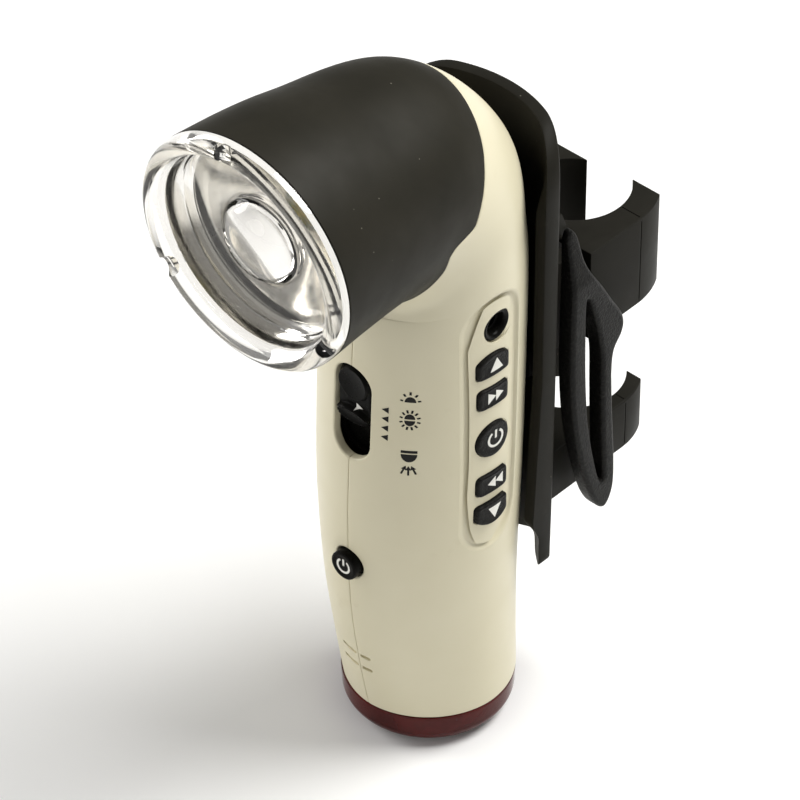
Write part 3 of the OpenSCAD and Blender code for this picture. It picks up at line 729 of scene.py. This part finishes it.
def tail_ring():
    r, h = TAIL_R, TAIL_H
    outside = [(r - 5.8, 1.0)] + [(r - 4.2 + 4.0 * math.sin(a), 5.0 - 4.0 * math.cos(a))
                                  for a in np.radians(np.linspace(0, 84, 14))]
    outside += [(r - 0.05, h - 0.9), (r, h - 0.35), (r - 0.15, h - 0.05)]
    inside = [(r - 1.7, h - 0.05), (r - 2.0, 5.6), (r - 2.6, 3.9), (r - 4.2, 2.6), (r - 5.8, 2.5)]
    return lathe("tail_ring", outside + inside, 160, Matrix.Translation((0, TAIL_Y, 0)))


piece(tail_ring(), "red_lens", "torch", "tail_lens")

# ---------------------------------------------------------------- pads: keys, knob, button


def pad(name, rings_of, place, smooth_angle=32.0):
    """Closed solid from rings of (a, b, height) points that place turns into world points."""
    rings = [[place(*p) for p in ring] for ring in rings_of]
    return new_object(name, *bridge(rings), smooth_angle)


def key_top(y):
    """The x of the keys' faces at y."""
    return math.sqrt(KEY_TOP_R ** 2 - (y - KEY_TOP_Y) ** 2)


def key(name, kind, z):
    """A key with a hidden flange, a rounded edge and a dished face."""
    loop = key_loop(kind)
    rings = [[(y, h, 19.0) for y, h in grown(loop, KEY_FLANGE)],
             [(y, h, 19.4) for y, h in grown(loop, KEY_FLANGE)],
             [(y, h, 19.4) for y, h in loop]]
    for grow, down in [(0, 0.5), (-0.05, 0.28), (-0.18, 0.1), (-0.4, 0.0)]:
        rings.append([(y, h, key_top(KEY_Y + y) - down) for y, h in grown(loop, grow)])
    inner = grown(loop, -0.4)
    for k, sink in ((0.85, 0.06), (0.7, 0.13), (0.5, 0.17), (0.3, 0.19), (0.1, 0.2)):
        rings.append([(y * k, h * k, key_top(KEY_Y + y * k) - sink) for y, h in inner])
    return pad(name, rings, lambda y, h, x: (x, KEY_Y + y, z + h))


def patch_slab(name, patches, hit, lift=0.05, depth=0.25):
    """Thin raised print that follows the surface that hit finds. A patch is four (a, b) corners or
    a polar piece (centre a, centre b, inner radius, outer radius, start angle, end angle)."""

    def lifted(a, b, height):
        place, normal = hit(a, b)
        return place + normal * height

    verts, faces = [], []
    for p in patches:
        if len(p) == 4:
            c = np.array(p, float)
            cols, rows = 6, 6
            grid = [[(c[0] * (1 - s) + c[1] * s) * (1 - t) + (c[3] * (1 - s) + c[2] * s) * t
                     for s in np.linspace(0, 1, cols)] for t in np.linspace(0, 1, rows)]
        else:
            ca, cb, r0, r1, a0, a1 = p
            cols, rows = max(6, int(abs(a1 - a0) / 9)), 4
            grid = [[(ca + r * math.cos(a), cb + r * math.sin(a))
                     for a in np.radians(np.linspace(a0, a1, cols))]
                    for r in np.linspace(r0, r1, rows)]
        for sign in (1, -1):
            base = len(verts)
            verts += [lifted(a, b, lift if sign > 0 else -depth) for row in grid for a, b in row]
            for i in range(rows - 1):
                for j in range(cols - 1):
                    k = base + i * cols + j
                    quad = (k, k + 1, k + cols + 1, k + cols)
                    faces.append(quad if sign > 0 else quad[::-1])
        top, low = len(verts) - 2 * rows * cols, len(verts) - rows * cols
        rim = ([(0, j) for j in range(cols)] + [(i, cols - 1) for i in range(1, rows)]
               + [(rows - 1, j) for j in range(cols - 2, -1, -1)]
               + [(i, 0) for i in range(rows - 2, 0, -1)])
        ids = [i * cols + j for i, j in rim]
        for a, b in zip(ids, ids[1:] + ids[:1]):
            faces.append((top + a, low + a, low + b, top + b))
    return new_object(name, verts, faces, 30)


def line(a, b, width):
    """Straight stroke between two points."""
    a, b = np.array(a, float), np.array(b, float)
    d = (b - a) / np.linalg.norm(b - a)
    n = np.array([-d[1], d[0]]) * width / 2
    return [a - n, b - n, b + n, a + n]


def triangle(a, b, c):
    """A triangle as a quad with one very short side."""
    a, b, c = (np.array(p, float) for p in (a, b, c))
    return [a, b, c + (b - c) * 0.02, c + (a - c) * 0.02]


def power_symbol(ca, cb, r, stroke):
    """An open ring with an upright bar in its gap."""
    ring = [(ca, cb, r - stroke / 2, r + stroke / 2, 122, 418)]
    return ring + [line((ca, cb + r * 0.05), (ca, cb + r * 1.15), stroke)]


def key_symbol(name, kind, z):
    y = KEY_Y + 0.5
    if kind == "power":
        return power_symbol(y, z, 2.1, 0.6)
    if kind == "up":
        return [triangle((y - 1.9, z - 2.0), (y + 1.9, z - 2.0), (y, z + 1.4))]
    if kind == "down":
        return [triangle((y + 1.9, z + 1.9), (y - 1.9, z + 1.9), (y, z - 1.5))]
    way = 1 if name == "key_forward" else -1
    return [triangle((y + way * k, z - 1.5), (y + way * (k + 2.3), z), (y + way * k, z + 1.5))
            for k in (-2.4, -0.1)]


for name, (kind, z) in KEYS.items():
    cap = key(name + "_cap", kind, z)
    symbol = patch_slab(name + "_symbol", key_symbol(name, kind, z), caster(cap, FROM_KEYPAD_SIDE))
    piece(cap, "pebble_rubber", name + "_body", name)
    piece(symbol, "white_print", name + "_body", slot="pebble_rubber")


def jack():
    """Headphone socket: a barrel with a rounded bezel, and the contact ring deep inside."""
    face = box_mm("jack_socket")[1][0]
    outside = [(1.8, 10.6), (3.8, 10.6), (4.1, 11.2), (4.1, face - 0.5), (3.95, face - 0.15),
               (3.7, face), (3.3, face - 0.05), (2.9, face - 0.3), (2.6, face - 0.9),
               (2.5, face - 2.0), (1.8, face - 2.2)]
    place = Matrix.Translation((0, JACK_Y, JACK_Z)) @ Matrix.Rotation(math.radians(90), 4, "Y")
    barrel = lathe("jack_barrel", outside, 64, place)
    contact = lathe("jack_contact", [(1.4, face - 5.4), (1.77, face - 5.4), (1.77, face - 4.2),
                                     (1.4, face - 4.2)], 48, place)
    return barrel, contact


barrel, contact = jack()
piece(barrel, "gloss_black", "torch", "jack_socket")
piece(contact, "steel", "torch", slot="steel")


def front_button():
    face, r = -BTN_FACE_Y, BTN_R
    profile = [(0.001, 23.5), (r + 0.8, 23.5), (r + 0.8, 24.3), (r, 24.3), (r, face - 0.45),
               (r - 0.1, face - 0.2), (r - 0.35, face - 0.03), (r - 0.7, face), (r - 1.0, face - 0.12),
               (1.6, face - 0.2), (0.001, face - 0.22)]
    place = Matrix.Translation((0, 0, BTN_Z)) @ Matrix.Rotation(math.radians(90), 4, "X")
    return lathe("front_button_cap", profile, 72, place, closed=False)


button = front_button()
button_symbol = patch_slab("front_button_symbol", power_symbol(0, BTN_Z, 1.75, 0.55),
                           caster(button, FROM_FRONT))
piece(button, "gloss_black", "front_power", "front_button")
piece(button_symbol, "white_print", "front_power", slot="gloss_black")

KNOB_LOW, KNOB_HIGH = box_mm("mode_knob")
KNOB_TOP_Z, KNOB_LOW_Z = KNOB_HIGH[2], KNOB_LOW[2]
KNOB_W = KNOB_HIGH[0] - KNOB_LOW[0]
DISC_Z, DISC_R = KNOB_TOP_Z - KNOB_W / 2, 4.15
FLAT_Y, KNOB_BACK_Y = -24.9, -21.6
DISC_RISE, DISC_DISH = 0.9, 0.35
LIP_Z, LIP_HALF_X, LIP_HALF_Z, LIP_RISE, LIP_DISH = 100.7, 4.7, 2.0, 1.45, 0.45


def ease(t):
    """Smooth step from 0 to 1."""
    t = np.clip(t, 0, 1)
    return t * t * (3 - 2 * t)


def knob_face(x, z):
    """The y of the knob's face: a round pad above, a leaf-shaped thumb lip below."""
    r = math.hypot(x, z - DISC_Z) / DISC_R
    rise = DISC_RISE * ease((1.08 - r) / 0.12) - DISC_DISH * max(0.0, 1 - r * r)
    half = LIP_HALF_Z * math.sqrt(max(0.02, 1 - (x / LIP_HALF_X) ** 2))
    v = abs(z - LIP_Z) / half
    rise = max(rise, LIP_RISE * ease((1.1 - v) / 0.4) - LIP_DISH * max(0.0, 1 - (v / 0.7) ** 2))
    return FLAT_Y - rise


def mode_knob():
    middle = (KNOB_TOP_Z + KNOB_LOW_Z) / 2
    loop = stadium(0, middle, KNOB_W, KNOB_TOP_Z - KNOB_LOW_Z, 160)
    rings = [[(x, z, KNOB_BACK_Y) for x, z in loop]]
    for grow, down in [(0, 0.7), (-0.08, 0.35), (-0.3, 0.1), (-0.6, 0.0)]:
        rings.append([(x, z, knob_face(x, z) + down) for x, z in grown(loop, grow)])
    inner = grown(loop, -0.6)
    for k in np.linspace(0.97, 0.02, 44):
        ring = [(x * k, middle + (z - middle) * k) for x, z in inner]
        rings.append([(x, z, knob_face(x, z)) for x, z in ring])
    return pad("mode_knob_thumb", rings, lambda x, z, y: (x, y, z), 50)


knob = mode_knob()
knob_symbol = patch_slab("mode_knob_pointer", [triangle((0.6, 102.35), (2.5, 103.15), (0.6, 103.95))],
                         caster(knob, FROM_FRONT))
piece(knob, "gloss_black", "mode_slider", "mode_knob")
piece(knob_symbol, "white_print", "mode_slider", slot="gloss_black")

# ---------------------------------------------------------------- printed pictograms


SQUASH = 0.68  # the pictograms sit on a slope, so they are drawn narrow in x


def rays(cx, cz, r0, r1, angles, width):
    return [line((cx + SQUASH * r0 * math.cos(a), cz + r0 * math.sin(a)),
                 (cx + SQUASH * r1 * math.cos(a), cz + r1 * math.sin(a)), width)
            for a in np.radians(angles)]


def disc(cx, cz, r, start, end):
    """Part of an upright oval as slices that share its middle."""
    turns = np.radians(np.linspace(start, end, 13))
    rim = [(cx + SQUASH * r * math.cos(a), cz + r * math.sin(a)) for a in turns]
    middle = np.array([cx, cz])
    return [[middle, np.array(p), np.array(q), middle + (np.array(q) - middle) * 0.02]
            for p, q in zip(rim, rim[1:])]


def arrow(x, z, angle, length):
    a = math.radians(angle)
    tip = (x + SQUASH * length * math.cos(a), z + length * math.sin(a))
    back = np.array([x, z]) * 0.45 + np.array(tip) * 0.55
    side = np.array([-math.sin(a), SQUASH * math.cos(a)]) * 0.55
    return [line((x, z), back, 0.38), triangle(back - side, tip, back + side)]


def half_sun(x, z):
    return disc(x, z, 1.55, 0, 180) + rays(x, z + 0.1, 1.95, 2.8, (8, 49, 90, 131, 172), 0.42)


def whole_sun(x, z):
    halves = disc(x, z + 0.2, 1.45, 0, 180) + disc(x, z - 0.2, 1.45, 180, 360)
    return halves + rays(x, z, 1.95, 2.85, range(15, 360, 30), 0.40)


def lamp(x, z):
    """A lamp that hangs from a bar, with three arrows below it."""
    bowl = [line((x - 1.5, z), (x + 1.5, z), 0.75)] + disc(x, z - 0.7, 2.2, 180, 360)
    arrows = [(x - 1.35, z - 6.3, 62), (x, z - 6.7, 90), (x + 1.35, z - 6.3, 118)]
    return bowl + [part for place in arrows for part in arrow(*place, 2.7)]


MODE_ZS, ICON_X = (106.4, 103.9, 101.3, 98.7), 13.6
marks = [triangle((9.5, z - 0.85), (9.5, z + 0.85), (7.95, z)) for z in MODE_ZS]
marks += half_sun(ICON_X, 109.5) + whole_sun(ICON_X, 104.55) + lamp(ICON_X + 0.05, 95.5)
pictograms = patch_slab("pictograms", marks, hit_front, 0.035, 0.12)
piece(pictograms, "black_print", "torch", slot="ivory_shell")
bpy.data.objects.remove(whole)

# ---------------------------------------------------------------- cradle

CRADLE_R, CRADLE_T, CRADLE_Y = 33.4, 3.0, -8.4
CRADLE_TOP, CRADLE_LOW = 165.0, 40.0
LIP_Y, LIP_WIDTH = 10.35, 3.2  # front and width of the thicker side rims


def cradle_loop():
    """Front view of the cradle: an arched top, a bowed lower edge and a lobe at each lower corner."""
    low = CRADLE_LOW
    turns = np.radians(np.linspace(90, 0, 14))
    right = [(13 + 11 * math.cos(a), CRADLE_TOP - 13 + 13 * math.sin(a)) for a in turns]
    right += [(24, 138), (24, 100), (22.4, 62), (21.6, low + 6)]
    right += arc(19.4, low + 3.8, 2.2, 0, -180, 14)
    right += [(16.9, low + 6.6), (16.4, low + 7.3), (15, low + 7.2), (11, low + 4.2), (6, low + 1),
              (0, low)]
    left_half = [(-x, z) for x, z in reversed(right[:-1])]
    return resample(right + left_half, 420)


def cradle_y(x, inset=0.0):
    """The y of the cradle's outer face at x, or of a face further in."""
    return CRADLE_Y + math.sqrt((CRADLE_R - inset) ** 2 - x * x)


def cradle_front(x, z):
    """The y of the inner face, which comes forwards to the rims' plane along both sides."""
    share = float(ease((z - 50) / 8) * ease((158 - z) / 12))
    inner = cradle_y(x, CRADLE_T)
    return inner * (1 - share) + min(inner, LIP_Y) * share


def cradle():
    """The curved plate behind the torch: its inner face, its rims, its outer edge and its outer
    face, as rings from the middle of one face to the middle of the other."""
    loop = cradle_loop()
    middle = np.array([0.0, (CRADLE_TOP + CRADLE_LOW) / 2])
    rings = []
    edge = [(0.0, 2.6), (0.0, 0.4), (-0.1, 0.15), (-0.3, 0.03), (-0.55, 0.0)]
    rim = [(-LIP_WIDTH, 0.5), (-LIP_WIDTH + 0.12, 0.15), (-LIP_WIDTH + 0.4, 0.0), (-0.5, 0.0),
           (-0.15, 0.12)]
    inside, outside = grown(loop, -LIP_WIDTH - 0.3), grown(loop, -0.6)
    shares = np.linspace(0.03, 0.995, 34)
    for k in shares:
        rings.append([(x, cradle_y(x, CRADLE_T), z) for x, z in middle + (inside - middle) * k])
    for grow, back in rim:
        rings.append([(x, min(cradle_front(x, z) + back, cradle_y(x, CRADLE_T)), z)
                      for x, z in grown(loop, grow)])
    for grow, inset in edge:
        rings.append([(x, cradle_y(x, inset), z) for x, z in grown(loop, grow)])
    for k in shares[::-1]:
        rings.append([(x, cradle_y(x), z) for x, z in middle + (outside - middle) * k])
    obj = new_object("cradle_shell", *bridge(rings), 34)
    # keyhole for the torch's stud: narrow below, wide above
    narrow = rounded([(-2.9, 93.4), (2.9, 93.4), (2.9, 106.5), (-2.9, 106.5)], 2.0)
    cutters = [new_object("keyhole", *bridge([[(x, y, z) for x, z in hole] for y in (15, 34)]))
               for hole in (narrow, circle(0, 111.4, 5.2, 48))]
    cut(obj, *cutters, smooth_angle=34)
    return obj


piece(cradle(), "black_plastic", "bracket", "cradle")

# ---------------------------------------------------------------- clamps

TUBE_R, TUBE_Y = 13.6, 47.0


def box_solid(name, low, high):
    (x0, y0, z0), (x1, y1, z1) = low, high
    rings = [[(x0, y0, z), (x1, y0, z), (x1, y1, z), (x0, y1, z)] for z in (z0, z1)]
    return new_object(name, *bridge(rings))


def clamp_loop(half_w, tip, far_tip):
    """Plan view of one clamp: a block on the cradle with two arms that curl around the tube."""
    out_near, out_far = (math.degrees(math.asin(t / half_w)) for t in (tip, far_tip))
    in_near, in_far = (math.degrees(math.asin(t / TUBE_R)) for t in (tip, far_tip))
    side = half_w - 0.01
    foot = math.degrees(math.acos(side / CRADLE_R))
    points = [(half_w, TUBE_Y - 20)]
    points += arc(0, TUBE_Y, half_w, 0, out_near, 12)
    points += arc(0, TUBE_Y, TUBE_R, in_near, -180 - in_far, 72)
    points += arc(0, TUBE_Y, half_w, 180 - out_far, 180, 12)
    points += [(-half_w, TUBE_Y - 20)]
    points += arc(0, CRADLE_Y, CRADLE_R, 180 - foot, foot, 40)
    return points


# Outer half width, and how far the near (+X) and the far arm reach past the tube's middle
CLAMPS = {"clamp_upper": (20.0, 10.0, 12.2), "clamp_lower": (17.2, 9.0, 10.5)}
FAR_DROP = 4.0  # the upper clamp's far arm is lower than its near one
GROOVE = 0.28  # depth and width of the parting line on the near arm


def upper_cuts(half_w, low_z, high_z):
    """What only the upper clamp has: a lower far arm, a step beside the near one, and room for the
    stud's head as the bracket slides down."""
    return [box_solid("drop", (-40, TUBE_Y - 8, high_z - FAR_DROP), (-4, 80, high_z + 5)),
            box_solid("step", (half_w - 3, 5, low_z - 5), (half_w + 5, 30.5, high_z + 5)),
            box_solid("stud_room", (-5.6, 15, 90.4), (5.6, 27.6, 117))]


def clamp(node, half_w, tip, far_tip):
    """One clamp with rounded edges and a parting line round its near arm."""
    low, high = box_mm(node)
    low_z, high_z = low[2], high[2]
    loop = clamp_loop(half_w, tip, far_tip)
    obj = new_object(node + "_arms", *bridge([[(x, y, z) for x, y in loop] for z in (low_z, high_z)]))
    if node == "clamp_upper":
        cut(obj, *upper_cuts(half_w, low_z, high_z))
    soften(obj, 0.55)
    line_y = TUBE_Y + 0.6
    cut(obj, box_solid("parting", (half_w - GROOVE, line_y, low_z + 1.0),
                       (half_w + 2, line_y + GROOVE, high_z - 0.8)),
        box_solid("parting_top", (TUBE_R + 0.5, line_y, high_z - 0.22),
                  (half_w - 0.6, line_y + GROOVE, high_z + 1)))
    return obj


for node, shape in CLAMPS.items():
    piece(clamp(node, *shape), "black_plastic", "bracket", node)

# ---------------------------------------------------------------- strap


def closed_spline(points, count):
    """Smooth closed curve through points."""
    p = np.array(points, float)
    out = []
    n = len(p)
    for i in range(n):
        a, b, c, d = p[i - 1], p[i], p[(i + 1) % n], p[(i + 2) % n]
        for t in np.linspace(0, 1, 8, endpoint=False):
            out.append(0.5 * (2 * b + (c - a) * t + (2 * a - 5 * b + 4 * c - d) * t * t
                              + (3 * b - a - 3 * c + d) * t ** 3))
    return resample(out, count)


STRAP_LOW, STRAP_HIGH = box_mm("strap")
# Side views of the strap's outside and of the gap in it
STRAP_OUT = [(19.2, 128), (19.2, 132.5), (19.5, 135.8), (20.6, 137.3), (21.8, 136.4), (22.7, 134.3),
             (23.3, 131), (24, 127.5), (25.8, 123.4), (29.6, 117.3), (32.9, 111.5), (35.7, 107),
             (36.8, 103.6), (36.2, 100.5), (33.8, 97), (33.2, 92), (33.4, 86), (34, 76), (34.9, 64),
             (34.8, 56), (33, 51.7), (30.6, 51.3), (27.2, 56.8), (24, 66.4), (21.4, 77), (19.7, 89),
             (19, 104)]
STRAP_GAP = [(24, 117), (27, 109), (29.2, 99), (29.7, 88), (30.2, 76), (30.8, 66), (31, 60.6),
             (29.8, 60.8), (27.8, 68), (25.8, 78), (24.5, 90), (23.9, 104)]


def strap():
    """Flat outline with a gap, its edges rounded by a bevel, turned into the YZ plane. It thins
    towards its upper end."""
    thick, round_r = STRAP_HIGH[0] - STRAP_LOW[0], 1.15
    curve = bpy.data.curves.new("strap", "CURVE")
    curve.dimensions, curve.fill_mode = "2D", "BOTH"
    curve.extrude, curve.bevel_depth = (thick / 2 - round_r) * MM, round_r * MM
    curve.bevel_resolution, curve.offset = 6, -round_r * MM
    for points, count in ((STRAP_OUT, 320), (STRAP_GAP, 200)):
        loop = closed_spline(points, count)
        spline = curve.splines.new("POLY")
        spline.points.add(len(loop) - 1)
        for p, (y, z) in zip(spline.points, loop):
            p.co = (y * MM, z * MM, 0, 1)
        spline.use_cyclic_u = True
    flat = placed("flat", curve)
    bpy.context.view_layer.update()
    mesh = bpy.data.meshes.new_from_object(flat.evaluated_get(bpy.context.evaluated_depsgraph_get()))
    bpy.data.objects.remove(flat)
    inner_x, middle_x = STRAP_LOW[0] * MM, (STRAP_LOW[0] + STRAP_HIGH[0]) / 2 * MM
    mesh.transform(Matrix(((0, 0, 1, middle_x), (1, 0, 0, 0), (0, 1, 0, 0), (0, 0, 0, 1))))
    for v in mesh.vertices:
        keep = np.interp(v.co.z / MM, [122, 137], [1.0, 0.42])
        v.co.x = inner_x + (v.co.x - inner_x) * keep
    tidy_mesh(mesh, 50, 2e-5)
    return placed("strap_loop_rubber", mesh)


piece(strap(), "pebble_rubber", "strap_loop", "strap")

# ---------------------------------------------------------------- CAD nodes that stay in view

for node_name, obj in frame["nodes"].items():
    for s in obj.material_slots:
        s.material = MATERIALS[SLOT_OF[node_name]]

# ---------------------------------------------------------------- floor, light and camera

LIGHT_AIM = (0, -0.01, 0.1)


def stage_floor():
    n = Nodes("floor_paper")
    tint = n.mix(n.span(n.noise(60.0), 0.3, 0.7), (0.93, 0.93, 0.93), (0.91, 0.91, 0.91))
    n.set(Base_Color=tint, Roughness=0.9, Normal=n.bump(n.noise(0.8), 0.01, 0.3))
    size, drop = 3000, 0.02
    verts = [(-size, -size, -drop), (size, -size, -drop), (size, size, -drop), (-size, size, -drop)]
    floor = new_object("floor", verts, [(0, 1, 2, 3)])
    floor.data.materials.append(n.material)


def area_light(name, place, size, energy, colour):
    """Round soft light, size metres across at a place in metres, that points at the torch."""
    data = bpy.data.lights.new(name, "AREA")
    data.shape, data.size, data.energy, data.color = "DISK", size, energy, colour
    obj = placed(name, data)
    obj.location = place
    obj.rotation_euler = (Vector(LIGHT_AIM) - Vector(place)).to_track_quat("-Z", "Y").to_euler()


# Degrees from the front towards the keypad side and up, then metres
CAMERA_AZIMUTH, CAMERA_ELEVATION, CAMERA_DISTANCE = 42.6, 40.7, 1.25
CAMERA_TARGET = Vector((0.0, -0.0102, 0.0951))
CAMERA_LENS, CAMERA_SENSOR = 253.1, 36.0


def camera():
    data = bpy.data.cameras.new("camera")
    data.lens, data.sensor_width = CAMERA_LENS, CAMERA_SENSOR
    obj = placed("camera", data)
    az, el = math.radians(CAMERA_AZIMUTH), math.radians(CAMERA_ELEVATION)
    away = Vector((math.sin(az) * math.cos(el), -math.cos(az) * math.cos(el), math.sin(el)))
    obj.location = CAMERA_TARGET + away * CAMERA_DISTANCE
    obj.rotation_euler = (-away).to_track_quat("-Z", "Y").to_euler()
    bpy.context.scene.camera = obj


def soft_surroundings():
    world = bpy.data.worlds.new("world")
    world.use_nodes = True
    background = world.node_tree.nodes["Background"].inputs
    background["Color"].default_value = (1.0, 0.995, 0.98, 1)
    background["Strength"].default_value = 0.24
    bpy.context.scene.world = world


stage_floor()
area_light("key_above", (0.28, 0.42, 0.85), 0.6, 10.5, (1.0, 0.995, 0.97))
area_light("fill_left", (-1.1, -0.35, 0.5), 0.8, 8.5, (1.0, 0.99, 0.97))
area_light("front_glow", (-0.25, -1.1, 0.45), 0.7, 1.8, (1.0, 0.985, 0.95))
area_light("side_right", (1.1, -0.1, 0.45), 0.6, 0.5, (1.0, 1.0, 1.0))
soft_surroundings()
bpy.context.scene.view_settings.view_transform = "Standard"
camera()
